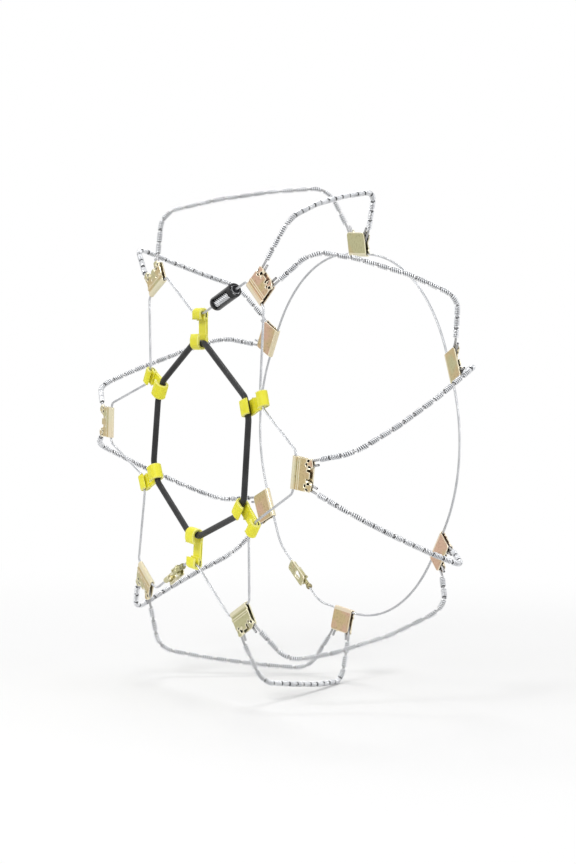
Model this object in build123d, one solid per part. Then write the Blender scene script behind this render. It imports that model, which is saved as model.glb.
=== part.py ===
from build123d import *
from math import asin, atan, atan2, cos, degrees, hypot, pi, radians, sin, tan
import os

os.makedirs("parts", exist_ok=True)

# Diagonal-cable tyre chain, shown in its fitted shape. The tyre itself isn't part of it.
# Origin: middle of the tyre on its axle. Y is the axle, with the outboard side at -Y. Z is up.
# An angle is counted about the axle, from +X towards +Z.

# Tyre that it fits (225/50 R16)
tread_radius = 316.0
shoulder_y = 91.0        # from the tyre's middle to the corner where a cable turns over
side_y = 116.0           # from the tyre's middle to each side cable

# Places round the wheel: each piece lies where the pull of its cables has settled it
outer_angles = (-7.4, 54.0, 121.3, 178.8, 234.3, 297.0)
outer_radii = (230.0, 223.0, 217.5, 235.5, 229.0, 232.5)
outer_leans = (18.0, 15.0, 3.0, 5.0, 10.0, 9.0)      # degrees that each leans over the tyre
inner_angles = (23.0, 89.0, 151.5, 207.0, 266.0, 326.5)
inner_radius = 233.0
inner_lean = 9.0
hook_angles = (19.7, 92.1, 152.2, 205.2, 265.7, 321.5)
hook_radii = (160.4, 154.9, 153.1, 161.4, 162.5, 169.8)
hook_drop = 38.0         # from a hook's seat on the side cable in to its seat on the ring

# Degrees from a connector to where its cable crosses the shoulder, and how far the cable
# bows round the tread. Each pair is the cable towards the next angle, then the one before.
outer_leads = ((7.1, 5.7), (4.6, 7.2), (10.9, 3.5), (6.5, 7.9), (9.4, 5.0), (7.6, 5.0))
inner_leads = ((4.8, 11.4), (12.6, 7.2), (7.2, 7.2), (7.2, 7.2), (7.2, 7.2), (5.0, 6.6))
tread_bows = ((-0.8, -0.4), (1.2, 1.9), (0.5, -0.5), (0.4, -0.4), (0.5, -0.6), (-2.8, 1.2))

# Cables
side_cable_d = 3.2
core_d = 3.2
shoulder_bend = 30.0
side_bend_reach = 5.6    # straight length that a side cable's bend takes up at a connector
lock_bend_reach = 11.0   # the same, on the side of the connector that leads to the lock
hook_bend_reach = 2.6    # and at a hook

# Steel coils threaded on the tread cables
coil_wire = 1.7
coil_play = 0.3
coil_length = 16.0
coil_gap = 0.6           # least gap between two fixed coils, which share their stretch evenly
roller_coils = 3         # coils that lie on one straight run in mid-tread and roll there
roller_gap = 1.5
roller_end_gap = 1.0
mid_bend_reach = 8.0
tread_play = 0.6         # between the coils and the tyre
bare_end = 7.6           # bare cable between a connector and the nearest coil
leg_bend_reach = 4.0     # where a cable leaves its connector's plane, on that bare stretch
leg_bend_from = 4.4

# Connectors: a sheet folded round the side cable, with a crimped lobe for each cable end
connector_width = 40.0
sheet = 1.5
fold_play = 0.25
front_leaf = 17.0
back_leaf = 22.0
lobe_x = 14.0            # middle of a cable end's loop, from the side cable
lobe_t = 11.0            # and from the connector's middle
lobe_reach = 17.0        # from the loop's middle to the end of the lobe
lobe_start = 5.0
lobe_slit = 3.4
loop_gap = 6.2           # between the two legs of a cable's looped end
loop_bend = 2.8
stub_out = 6.0           # cut end that shows past the lobe
rivet_r = 0.9
pierce_r = 1.1

# Tensioner hooks and rubber ring
ring_d = 8.0
ring_bend_reach = 3.8
hook_width = 20.0
hook_bar_width = 18.0
hook_bar = 4.0
hook_play = 0.3
hook_swing = 8.0         # degrees each way that a hook swings while the ring moves
hook_cable_wall = 4.6
hook_ring_wall = 3.6
hook_cable_tip = 3.0     # how far each tip runs on past its seat's middle
hook_ring_tip = 5.0
hook_end_gap = 0.3
hook_round = 1.5

# Locks that close the two side cables
lock_length = 40.0
lock_width = 15.0
lock_sheet = 1.6
lock_barrel_length = 12.0
lock_barrel_wall = 2.1
lock_wall_height = 5.0
lock_wall_start = 15.0
lock_lip_x = 34.3
swage_play = 0.05
stud_ball_r = 4.4
stud_shank_r = 2.9
stud_shank = 14.0
stud_play = 0.3
stud_bore_play = 0.1
stud_x = 31.0
stud_travel = 8.0
cable_in_stud = 2.0
outer_lock_from_bend = 19.0
inner_lock_run = 90.0

# Barrel on the outer side cable
barrel_r = 9.2
barrel_length = 50.0
barrel_window = 20.0
barrel_window_width = 8.0
ferrule_r = 4.2
ferrule_collar_r = 6.2
ferrule_collar = 2.0
ferrule_play = 0.3
barrel_from_bend = 54.0
barrel_groove = 0.7
barrel_groove_width = 1.2
barrel_groove_from_end = 5.0


coil_inner = core_d / 2 + coil_play
coil_outer = coil_inner + coil_wire
cable_radius = tread_radius + tread_play + coil_outer
fold_in = side_cable_d / 2 + fold_play
fold_out = fold_in + sheet
roller_length = roller_coils * coil_length + (roller_coils - 1) * roller_gap
mid_reach = roller_length / 2 + roller_end_gap + mid_bend_reach
ring_shift = hook_drop * (1 - cos(radians(hook_swing)))
ring_travel = hook_drop * sin(radians(hook_swing))


# A point at a radius and an angle about the axle
def around(radius, angle, y):
    return Vector(radius * cos(radians(angle)), y, radius * sin(radians(angle)))


# A frame at such a point: X away from the axle, leaning over the tyre; Z away from the tyre
def seat(radius, angle, side, lean=0.0):
    out = around(1, angle, 0)
    along = out * cos(lean) - Vector(0, side, 0) * sin(lean)
    normal = out * sin(lean) + Vector(0, side, 0) * cos(lean)
    return Plane(origin=around(radius, angle, side * side_y), x_dir=along, z_dir=normal)


# Straight runs joined by tangent arcs, with one reach (tangent length) for each corner
def route(points, reaches, closed=False):
    points = [Vector(p) for p in points]
    if closed:
        first = (points[-1] + points[0]) / 2
        stops = [first] + points + [first]
    else:
        stops = points
    edges, here = [], stops[0]
    for k in range(1, len(stops) - 1):
        corner = stops[k]
        arrive = (corner - stops[k - 1]).normalized()
        leave = (stops[k + 1] - corner).normalized()
        half = radians(arrive.get_angle(leave)) / 2
        reach = reaches[k - 1]
        start, end = corner - arrive * reach, corner + leave * reach
        radius = reach / tan(half)
        middle = corner + (leave - arrive).normalized() * radius * (1 / cos(half) - 1)
        if (start - here).length > 0.001:
            edges.append(Edge.make_line(here, start))
        edges.append(Edge.make_three_point_arc(start, middle, end))
        here = end
    edges.append(Edge.make_line(here, stops[-1]))
    return edges


# The part of a route between two distances along it
def stretch(edges, start, end):
    pieces, passed = [], 0.0
    for edge in edges:
        low, high = max(start, passed), min(end, passed + edge.length)
        if high - low > 0.02:
            if low - passed < 1e-6 and passed + edge.length - high < 1e-6:
                pieces.append(edge)
            else:
                first = (low - passed) / edge.length
                last = (high - passed) / edge.length
                pieces.append(edge.trim(first, last))
        passed += edge.length
    return pieces


def length(edges):
    return sum(edge.length for edge in edges)


def sweep_round(edges, radius):
    path = Wire(edges)
    start = Plane(origin=edges[0] @ 0, z_dir=edges[0] % 0)
    return sweep(start * Circle(radius), path=path)


def reach_of(turn_radius, a, b, c):
    arrive, leave = (b - a).normalized(), (c - b).normalized()
    return turn_radius * tan(radians(arrive.get_angle(leave)) / 2)


# A tube or rod between two distances along X
def rod(radius, start, end, axis_z=0.0):
    turned = Plane(origin=(start, 0, axis_z), x_dir=(0, 1, 0), z_dir=(1, 0, 0))
    return extrude(turned * Circle(radius), amount=end - start)


def block(x0, x1, y0, y1, z0, z1):
    middle = Pos((x0 + x1) / 2, (y0 + y1) / 2, (z0 + z1) / 2)
    return middle * Box(x1 - x0, y1 - y0, z1 - z0)


def placed(frame, shape):
    return frame.location * shape


def write(name, solids):
    solids = [s for shape in solids for s in shape.solids()]
    export_step(solids[0] if len(solids) == 1 else Compound(children=solids),
                f"parts/{name}.step")


outer_seats = [seat(r, a, -1, radians(lean))
               for r, a, lean in zip(outer_radii, outer_angles, outer_leans)]
inner_seats = [seat(inner_radius, a, 1, radians(inner_lean)) for a in inner_angles]

# Where the two cables of each connector cross the shoulder
outer_spots = [[around(cable_radius, a + s * lead, -shoulder_y) for s, lead in zip((1, -1), leads)]
               for a, leads in zip(outer_angles, outer_leads)]
inner_spots = [[around(cable_radius, a - s * lead, shoulder_y) for s, lead in zip((1, -1), leads)]
               for a, leads in zip(inner_angles, inner_leads)]


# Angle of a cable end's legs in its connector's plane
def leg(frame, side, spot):
    local = frame.to_local_coords(spot)
    away_x, away_t = local.X - lobe_x, local.Y - side * lobe_t
    return atan2(away_t, away_x) - side * asin(loop_gap / 2 / hypot(away_x, away_t))


# Looped end of a tread cable, from its cut end to the shoulder
def looped_end(frame, side, spot):
    angle = leg(frame, side, spot)
    ahead = (cos(angle), sin(angle))
    across = (-side * sin(angle) * loop_gap / 2, side * cos(angle) * loop_gap / 2)
    back, front = -loop_bend, lobe_reach + stub_out
    local = [(-1, front), (-1, back), (1, back), (1, lobe_reach + leg_bend_from)]
    points = [(lobe_x + s * across[0] + d * ahead[0],
               side * lobe_t + s * across[1] + d * ahead[1]) for s, d in local]
    return [frame.from_local_coords(Vector(x, t, 0)) for x, t in points] + [spot]


# One tread cable between an outer and an inner connector: its route, and where its
# straight mid-tread run begins and ends
def tread_route(outer, side):
    inner = outer if side > 0 else (outer - 1) % 6
    turn = 0 if side > 0 else 1
    outer_end = looped_end(outer_seats[outer], side, outer_spots[outer][turn])
    inner_end = looped_end(inner_seats[inner], side, inner_spots[inner][turn])
    from_angle = outer_angles[outer] + side * outer_leads[outer][turn]
    to_angle = inner_angles[inner] - side * inner_leads[inner][turn]
    while to_angle - from_angle > 180:
        to_angle -= 360
    while to_angle - from_angle < -180:
        to_angle += 360
    from_y, to_y = outer_end[-1].Y, inner_end[-1].Y
    round_way = radians(to_angle - from_angle) * cable_radius
    whole = hypot(round_way, to_y - from_y)
    step = mid_reach / whole
    bow = tread_bows[outer][turn]
    middle = [around(cable_radius, from_angle + (to_angle - from_angle) * f + bow,
                     from_y + (to_y - from_y) * f) for f in (0.5 - step, 0.5 + step)]
    points = outer_end + middle + inner_end[::-1]
    reaches = [loop_bend, loop_bend, leg_bend_reach,
               reach_of(shoulder_bend, *points[3:6]), mid_bend_reach,
               mid_bend_reach, reach_of(shoulder_bend, *points[6:9]),
               leg_bend_reach, loop_bend, loop_bend]
    edges = route(points, reaches)
    run = next(k for k, e in enumerate(edges) if (e @ 0 - points[5]).length <
               mid_bend_reach + 0.01 and (e @ 1 - points[6]).length < mid_bend_reach + 0.01)
    start = length(edges[:run])
    return edges, start, start + edges[run].length


def coil_on(edges, start):
    piece = stretch(edges, start, start + coil_length)
    return sweep_round(piece, coil_outer) - sweep_round(piece, coil_inner)


# Where the coils that share a stretch begin, from its end at the connector
def shared(room):
    count = int(room // (coil_length + coil_gap))
    return [k * room / count for k in range(count)]


# Tread cables with their coils
roller_axes = []
loop_end_length = 2 * lobe_reach + stub_out + 2 * loop_bend + loop_gap
for outer in range(6):
    cables = []
    for side in (1, -1):
        edges, run_start, run_end = tread_route(outer, side)
        number = 2 * outer + (1 if side > 0 else 2)
        cables.append(sweep_round(edges, core_d / 2))
        drawn = sum(s.volume for s in cables[-1].solids())
        print("tread cable", number, "length", round(length(edges), 1),
              "volume ratio", round(drawn / (pi * (core_d / 2) ** 2 * length(edges)), 4))
        middle = (run_start + run_end) / 2
        first = middle - roller_length / 2
        write(f"tread_rollers_{number:02d}",
              [coil_on(edges, first + k * (coil_length + roller_gap))
               for k in range(roller_coils)])
        bare = loop_end_length + bare_end
        fixed = [bare + away for away in shared(first - bare)]
        fixed += [length(edges) - bare - coil_length - away
                  for away in shared(length(edges) - bare - first - roller_length)]
        write(f"tread_coils_{number:02d}", [coil_on(edges, p) for p in sorted(fixed)])
        straight = stretch(edges, run_start, run_end)[0]
        roller_axes.append((straight @ 0.5, straight % 0.5))
    write(f"tread_cables_{outer + 1}", cables)


# Connectors
def connector(frame, spots):
    half = connector_width / 2
    outside = Circle(fold_out)
    outside += Pos(front_leaf / 2, (fold_in + fold_out) / 2) * Rectangle(front_leaf, sheet)
    outside += Pos(back_leaf / 2, -(fold_in + fold_out) / 2) * Rectangle(back_leaf, sheet)
    gap = Circle(fold_in) + Pos(back_leaf / 2, 0) * Rectangle(back_leaf, 2 * fold_in)
    body = extrude(Plane.XZ * (outside - gap), amount=half, both=True)
    for side, spot in zip((1, -1), spots):
        angle = leg(frame, side, spot)
        turned = Pos(lobe_x, side * lobe_t, 0) * Rot(0, 0, degrees(angle))
        inner_width = loop_gap + core_d + 2 * fold_play
        width = inner_width + 2 * sheet
        plan = Pos((lobe_start + lobe_reach) / 2, 0) * RectangleRounded(
            lobe_reach - lobe_start, width, 2 * sheet)
        lobe = extrude(plan, amount=fold_out, both=True)
        lobe -= block(lobe_start - 1, lobe_reach + 1, -inner_width / 2, inner_width / 2,
                      -fold_in, fold_in)
        lobe -= block(lobe_start - 1, lobe_reach + 1, -lobe_slit / 2, lobe_slit / 2,
                      0, fold_out + 1)
        lead_in = block(-loop_bend, lobe_start + sheet, -inner_width / 2, inner_width / 2,
                        -fold_out, -fold_in)
        body += turned * (lobe + lead_in)
        body -= turned * block(0, lobe_reach + 1, -inner_width / 2, inner_width / 2,
                               -fold_in, fold_in)
        body += turned * Cylinder(rivet_r, 2 * fold_out)
        for across in (-1, 1):
            spot = turned * Pos(-loop_bend, across * loop_gap * 0.75, fold_out)
            body -= spot * Cylinder(pierce_r, 2 * sheet)
    return placed(frame, body)


for k in range(6):
    write(f"outer_connector_{k + 1}", [connector(outer_seats[k], outer_spots[k])])
    write(f"inner_connector_{k + 1}", [connector(inner_seats[k], inner_spots[k])])


# Locks: X runs along the cable, from the end that the plate is crimped to
def lock_plate():
    low = stud_ball_r + stud_play
    body = block(0, lock_length, -lock_width / 2, lock_width / 2, -low - lock_sheet, -low)
    barrel_r_out = side_cable_d / 2 + lock_barrel_wall
    body += rod(barrel_r_out, 0, lock_barrel_length)
    body += block(0, lock_barrel_length, -lock_barrel_wall, lock_barrel_wall, -low, 0)
    for s in (-1, 1):
        edge = s * (lock_width / 2 - lock_sheet / 2)
        body += block(lock_wall_start, lock_lip_x + lock_sheet, edge - lock_sheet / 2,
                      edge + lock_sheet / 2, -low, lock_wall_height - low)
    body += block(lock_lip_x, lock_lip_x + lock_sheet, -lock_width / 2, lock_width / 2,
                  -low, stud_shank_r)
    notch = stud_shank_r + stud_play
    body -= rod(notch, lock_lip_x - 1, lock_lip_x + lock_sheet + 1)
    body -= block(lock_lip_x - 1, lock_lip_x + lock_sheet + 1, -notch, notch, 0, 2 * notch)
    hole = stud_ball_r + stud_play
    hole_x = stud_x - stud_travel
    body -= Pos(hole_x, 0, -low) * Cylinder(hole, 4 * lock_sheet)
    body -= block(hole_x, lock_lip_x - 2 * lock_sheet, -notch, notch,
                  -low - 2 * lock_sheet, -low + 0.01)
    body -= rod(side_cable_d / 2 + swage_play, -1, lock_barrel_length + 1)
    return body


def lock_stud():
    body = Pos(stud_x, 0, 0) * Sphere(stud_ball_r) + rod(stud_shank_r, stud_x,
                                                        stud_x + stud_shank)
    return body - rod(side_cable_d / 2 + stud_bore_play, stud_x, stud_x + stud_shank + 1)


crimped_end = lock_barrel_length - 1
stud_end = stud_x + cable_in_stud


# Outer side cable: straight through each connector and hook, closed by its lock
half_fold = connector_width / 2 + hook_end_gap
half_hook = hook_width / 2 + hook_end_gap
stations = []
for k in range(6):
    ahead = lock_bend_reach if k == 4 else side_bend_reach
    stations.append((outer_radii[k], outer_angles[k], half_fold, side_bend_reach, ahead))
    stations.append((hook_radii[k], hook_angles[k], half_hook, hook_bend_reach,
                     hook_bend_reach))
# Begin at the hook after the lock, which is the tenth station
stations = stations[9:] + stations[:9]
corners, reaches = [], []
for radius, angle, half, reach_in, reach_out in stations:
    frame = seat(radius, angle, -1)
    for side, reach in ((-1, reach_in), (1, reach_out)):
        corners.append(frame.from_local_coords(Vector(0, side * (half + reach), 0)))
        reaches.append(reach)
lock_from, lock_to = corners[-1], corners[0]
lock_way = (lock_to - lock_from).normalized()
outer_lock = Plane(origin=lock_from + lock_way * (lock_bend_reach + outer_lock_from_bend),
                   x_dir=lock_way, z_dir=(0, -1, 0))
ends = [outer_lock.from_local_coords(Vector(x, 0, 0)) for x in (stud_end, crimped_end)]
outer_edges = route([ends[0]] + corners + [ends[1]], reaches)
outer_cable = sweep_round(outer_edges, side_cable_d / 2)
write("outer_side_cable", [outer_cable])
print("outer side cable length", round(length(outer_edges), 1), "volume ratio",
      round(outer_cable.volume / (pi * (side_cable_d / 2) ** 2 * length(outer_edges)), 4))
write("outer_lock_plate", [placed(outer_lock, lock_plate())])
write("outer_lock_stud", [placed(outer_lock, lock_stud())])

# Inner side cable: a hoop through the inner connectors
corners, reaches = [], []
for k in range(6):
    here, there = (k + 4) % 6, (k + 5) % 6
    first = inner_angles[here] + (360 if here < 4 else 0)
    last = inner_angles[there] + (360 if there < 4 else 0)
    while last < first:
        last += 360
    frame = seat(inner_radius, first, 1)
    if k < 5:
        half_turn = radians(last - first) / 2
        to_corner = inner_radius * tan(half_turn)
        corners.append(frame.from_local_coords(Vector(0, -to_corner, 0)))
        reaches.append(to_corner - half_fold)
# The run with the lock is straight in its middle, so it has two corners
first, last = inner_angles[3], inner_angles[4]
half_turn = radians(last - first) / 2
lock_middle = (first + last) / 2
half_side = inner_radius * tan(half_turn / 2)
hub = around(1, lock_middle, 0)
way = Vector(-hub.Z, 0, hub.X)
centre = hub * inner_radius + Vector(0, side_y, 0)
pair = [centre - way * half_side, centre + way * half_side]
corners = [pair[1]] + corners + [pair[0]]
bend = half_side - max(half_fold, inner_lock_run / 2)
reaches = [bend] + reaches + [bend]
inner_lock = Plane(origin=centre - way * (lock_length / 2), x_dir=way, z_dir=(0, 1, 0))
ends = [inner_lock.from_local_coords(Vector(x, 0, 0)) for x in (stud_end, crimped_end)]
inner_edges = route([ends[0]] + corners + [ends[1]], reaches)
inner_cable = sweep_round(inner_edges, side_cable_d / 2)
write("inner_side_cable", [inner_cable])
print("inner side cable length", round(length(inner_edges), 1), "volume ratio",
      round(inner_cable.volume / (pi * (side_cable_d / 2) ** 2 * length(inner_edges)), 4))
write("inner_lock_plate", [placed(inner_lock, lock_plate())])
write("inner_lock_stud", [placed(inner_lock, lock_stud())])

# Rubber ring, straight through each hook
corners, reaches = [], []
for radius, angle in zip(hook_radii, hook_angles):
    frame = seat(radius - hook_drop, angle, -1)
    for side in (-1, 1):
        corners.append(frame.from_local_coords(
            Vector(0, side * (half_hook + ring_bend_reach), 0)))
        reaches.append(ring_bend_reach)
ring_edges = route(corners, reaches, closed=True)
ring = sweep_round(ring_edges, ring_d / 2)
write("tensioner_ring", [ring])
print("ring length", round(length(ring_edges), 1), "volume ratio",
      round(ring.volume / (pi * (ring_d / 2) ** 2 * length(ring_edges)), 4))


# Tensioner hook: a bar with a lobe at each end, whose slots face each other
def hook():
    cable_slot = side_cable_d / 2 + hook_play
    ring_slot = ring_d / 2 + hook_play
    cable_lobe = cable_slot + hook_cable_wall
    ring_lobe = ring_slot + ring_shift + hook_ring_wall
    back = -(ring_slot + hook_bar)
    cable_z, ring_z = back + cable_lobe, back + ring_lobe
    low = -hook_drop
    outside = Pos(0, cable_z) * Circle(cable_lobe)
    outside += Pos(-hook_cable_tip / 2, cable_z) * Rectangle(hook_cable_tip, 2 * cable_lobe)
    outside += Pos(-hook_cable_tip, cable_z) * Circle(cable_lobe)
    other = Pos(low, ring_z) * Circle(ring_lobe)
    other += Pos(low + hook_ring_tip / 2, ring_z) * Rectangle(hook_ring_tip, 2 * ring_lobe)
    other += Pos(low + hook_ring_tip, ring_z) * Circle(ring_lobe)
    cut = Circle(cable_slot) + Pos(-cable_lobe, 0) * Rectangle(2 * cable_lobe,
                                                               2 * cable_slot)
    wide = Pos(low - ring_shift, 0) * Circle(ring_slot)
    wide += Pos(low + ring_lobe - ring_shift, 0) * Rectangle(2 * ring_lobe, 2 * ring_slot)
    body = block(low, 0, -hook_bar_width / 2, hook_bar_width / 2, back, back + hook_bar)
    for outline in (outside, other):
        lobe = extrude(Plane.XZ * outline, amount=hook_width / 2, both=True)
        ends = [e for e in lobe.edges() if abs(abs(e.center().Y) - hook_width / 2) < 1e-6]
        body += fillet(ends, hook_round)
    for slot in (cut, wide):
        body -= extrude(Plane.XZ * slot, amount=hook_width, both=True)
    return body


for k in range(6):
    write(f"tensioner_hook_{k + 1}",
          [placed(seat(hook_radii[k], hook_angles[k], -1), hook())])

# Barrel on the outer side cable, between the second connector and the second hook
start = seat(outer_radii[1], outer_angles[1], -1).from_local_coords(
    Vector(0, half_fold + side_bend_reach, 0))
finish = seat(hook_radii[1], hook_angles[1], -1).from_local_coords(
    Vector(0, -half_hook - hook_bend_reach, 0))
barrel_way = (finish - start).normalized()
barrel_frame = Plane(origin=start + barrel_way * barrel_from_bend, x_dir=barrel_way,
                     z_dir=(0, -1, 0))
half = barrel_length / 2
ferrule = rod(ferrule_r, -half - ferrule_play, half + ferrule_play)
for s in (-1, 1):
    near = s * (half + ferrule_play)
    far = near + s * ferrule_collar
    ferrule += rod(ferrule_collar_r, min(near, far), max(near, far))
ferrule -= rod(side_cable_d / 2 + ferrule_play, -barrel_length, barrel_length)
shell = rod(barrel_r, -half, half) - rod(ferrule_r + ferrule_play, -half - 1, half + 1)
shell -= block(-barrel_window / 2, barrel_window / 2, -barrel_window_width / 2,
               barrel_window_width / 2, 0, barrel_r + 1)
for s in (-1, 1):
    low = s * (half - barrel_groove_from_end) - barrel_groove_width / 2
    high = low + barrel_groove_width
    shell -= rod(barrel_r + 1, low, high) - rod(barrel_r - barrel_groove, low - 1, high + 1)
write("barrel_ferrule", [placed(barrel_frame, ferrule)])
write("barrel_shell", [placed(barrel_frame, shell)])
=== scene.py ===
import bpy
import bmesh
import random
from math import asin, atan2, ceil, cos, hypot, pi, radians, sin, tan
import numpy as np
from mathutils import Matrix, Vector
from mathutils.geometry import delaunay_2d_cdt


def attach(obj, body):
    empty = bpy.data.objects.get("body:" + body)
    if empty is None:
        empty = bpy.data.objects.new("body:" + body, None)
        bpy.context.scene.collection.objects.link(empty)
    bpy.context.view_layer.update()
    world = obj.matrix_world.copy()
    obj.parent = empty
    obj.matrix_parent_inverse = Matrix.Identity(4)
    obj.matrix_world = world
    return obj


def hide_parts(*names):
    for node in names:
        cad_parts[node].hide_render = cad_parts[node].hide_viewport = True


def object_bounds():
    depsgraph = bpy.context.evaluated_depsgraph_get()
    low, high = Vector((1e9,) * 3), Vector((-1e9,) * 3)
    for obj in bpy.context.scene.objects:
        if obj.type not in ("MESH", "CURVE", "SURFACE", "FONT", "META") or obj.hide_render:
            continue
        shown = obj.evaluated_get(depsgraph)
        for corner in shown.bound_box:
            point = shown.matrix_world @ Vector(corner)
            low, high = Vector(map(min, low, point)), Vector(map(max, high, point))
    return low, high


# A diagonal-cable tyre chain in its fitted shape. The origin is the middle of the tyre on its
# axle, Y is the axle, the outboard side is at -Y, and Z is up. Lengths are in metres.

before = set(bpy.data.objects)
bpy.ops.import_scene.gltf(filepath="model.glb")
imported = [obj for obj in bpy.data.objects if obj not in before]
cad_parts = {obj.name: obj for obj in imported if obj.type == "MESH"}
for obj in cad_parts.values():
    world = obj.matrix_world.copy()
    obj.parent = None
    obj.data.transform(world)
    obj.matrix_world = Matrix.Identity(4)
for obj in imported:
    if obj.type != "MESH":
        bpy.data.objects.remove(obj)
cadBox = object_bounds()
mm = 0.001
hair = 0.01 * mm                                # keeps points apart that would meet
random.seed(7)

wheel = {
    "treadRadius": 316 * mm, "shoulderY": 91 * mm, "sideY": 116 * mm,
    "outerAngles": (-7.4, 54.0, 121.3, 178.8, 234.3, 297.0),
    "outerRadii": (230.0, 223.0, 217.5, 235.5, 229.0, 232.5),      # a row of radii is in mm
    "outerLeans": (18.0, 15.0, 3.0, 5.0, 10.0, 9.0),
    "innerAngles": (23.0, 89.0, 151.5, 207.0, 266.0, 326.5),
    "innerRadius": 233 * mm, "innerLean": 9.0,
    "hookAngles": (19.7, 92.1, 152.2, 205.2, 265.7, 321.5),
    "hookRadii": (160.4, 154.9, 153.1, 161.4, 162.5, 169.8),
    "hookDrop": 38 * mm,
}


# A node tree's sockets as expressions

class Wire:
    def __init__(self, tree, socket):
        self.tree, self.socket = tree, socket

    def maths(self, operation, first, second):
        return self.tree.node("Math", {"operation": operation}, {0: first, 1: second})

    def __add__(self, other):
        return self.maths("ADD", self, other)

    def __sub__(self, other):
        return self.maths("SUBTRACT", self, other)

    def __rsub__(self, other):
        return self.maths("SUBTRACT", other, self)

    def __mul__(self, other):
        return self.maths("MULTIPLY", self, other)

    __radd__ = __add__
    __rmul__ = __mul__


class Tree:
    def __init__(self, tree):
        self.tree = tree

    def node(self, kind, settings=None, sockets=None, out=0):
        made = self.tree.nodes.new("ShaderNode" + kind)
        for name, value in (settings or {}).items():
            setattr(made, name, value)
        for name, value in (sockets or {}).items():
            self.join(value, made.inputs[name])
        return Wire(self, made.outputs[out])

    def join(self, value, socket):
        if isinstance(value, Wire):
            self.tree.links.new(value.socket, socket)
        elif socket.type == "RGBA" and len(value) == 3:
            socket.default_value = (*value, 1)
        else:
            socket.default_value = value

    def seen(self):                             # 1 for camera, glossy and transmission rays
        rays = [self.node("LightPath", out=f"Is {kind} Ray")
                for kind in ("Camera", "Glossy", "Transmission")]
        return rays[0].maths("MAXIMUM", rays[0].maths("MAXIMUM", rays[0], rays[1]), rays[2])


class Finish(Tree):                             # a material built round one principled shader
    def __init__(self, name, **sockets):
        self.material = bpy.data.materials.new(name)
        self.material.use_nodes = True
        super().__init__(self.material.node_tree)
        self.shader = self.tree.nodes["Principled BSDF"]
        self.give(**sockets)

    def give(self, **sockets):                  # baseColor=... goes to Base Color
        for name, value in sockets.items():
            words = "".join(" " + c if c.isupper() else c for c in name).title()
            self.join(value, self.shader.inputs[words.replace("I O R", "IOR")])

    def place(self):
        return self.node("TexCoord", out="Object")

    def grain(self, scale, detail=2, stretch=None):
        where = self.place()
        if stretch:
            where = self.node("VectorMath", {"operation": "MULTIPLY"}, {0: where, 1: stretch})
        return self.node("TexNoise", {}, {"Vector": where, "Scale": scale, "Detail": detail})

    def mark(self, name="mark"):                # a value that a mesh carries at its points
        return self.node("Attribute", {"attribute_name": name}, {}, out="Fac")

    def clear(self, value, low, high):          # 0 below low, 1 above high, smooth between
        return self.node("MapRange", {"interpolation_type": "SMOOTHSTEP"},
                         {"Value": value, "From Min": low, "From Max": high})

    def tint(self, factor, first, second):
        return self.node("Mix", {"data_type": "RGBA"}, {0: factor, 6: first, 7: second}, out=2)

    def bump(self, height, distance):
        self.give(normal=self.node("Bump", {}, {"Height": height, "Distance": distance}))


# Routes and meshes

class Seat:                                     # a frame with its own X, Y and Z
    def __init__(self, origin, x, z):
        self.origin, self.x, self.z = origin, x.normalized(), z.normalized()
        self.y = self.z.cross(self.x)

    def at(self, x, y, z=0.0):
        return self.origin + self.x * x + self.y * y + self.z * z

    def lay(self, points):                      # many local points at once
        axes = np.array([self.x, self.y, self.z])
        return np.asarray(points, float) @ axes + np.array(self.origin)


def around(radius, angle, y):
    return Vector((radius * cos(radians(angle)), y, radius * sin(radians(angle))))


def seatAt(radius, angle, side, lean=0.0):
    out, axle, turn = around(1, angle, 0), Vector((0, side, 0)), radians(lean)
    return Seat(around(radius, angle, side * wheel["sideY"]),
                out * cos(turn) - axle * sin(turn), out * sin(turn) + axle * cos(turn))


class Route:                                    # straight runs joined by tangent arcs
    def __init__(self, points, reaches, closed=False):
        stops = [Vector(p) for p in points]
        if closed:
            first = (stops[-1] + stops[0]) / 2
            stops = [first] + stops + [first]
        self.parts, self.length, here = [], 0.0, stops[0]
        for before, corner, after, reach in zip(stops, stops[1:], stops[2:], reaches):
            arrive, leave = (corner - before).normalized(), (after - corner).normalized()
            half = arrive.angle(leave) / 2
            radius = reach / tan(half)
            start = corner - arrive * reach
            centre = corner + (leave - arrive).normalized() * radius / cos(half)
            if (start - here).length > 2 * hair:
                self.put("run", (start - here).length, here, arrive)
            self.put("arc", 2 * half * radius, centre, arrive, start - centre, radius)
            here = corner + leave * reach
        self.put("run", (stops[-1] - here).length, here, (stops[-1] - here).normalized())

    def put(self, kind, length, *rest):
        self.parts.append((kind, self.length, length, rest))
        self.length += length

    def at(self, place):                        # the point and direction at a distance
        for kind, start, length, rest in self.parts:
            if place <= start + length:
                break
        passed = place - start
        if kind == "run":
            return rest[0] + rest[1] * passed, rest[1]
        centre, arrive, spoke, radius = rest
        turn = passed / radius
        return (centre + spoke * cos(turn) + arrive * radius * sin(turn),
                arrive * cos(turn) - spoke / radius * sin(turn))

    def frames(self, places):                   # points, directions and two untwisted sides
        spots = [self.at(p) for p in places]
        direction = spots[0][1]
        normal = direction.orthogonal().normalized()
        rows = []
        for spot, ahead in spots:
            normal = direction.rotation_difference(ahead) @ normal
            normal = (normal - ahead * normal.dot(ahead)).normalized()
            rows.append((spot, ahead, normal, ahead.cross(normal)))
            direction = ahead
        return [np.array([row[k] for row in rows]) for k in range(4)]


wearAndHighlightAngle = radians(30)                         # an edge that turns this far gets the full edge wear and painted highlight
roundColumns = 28                               # points round a turned part


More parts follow.
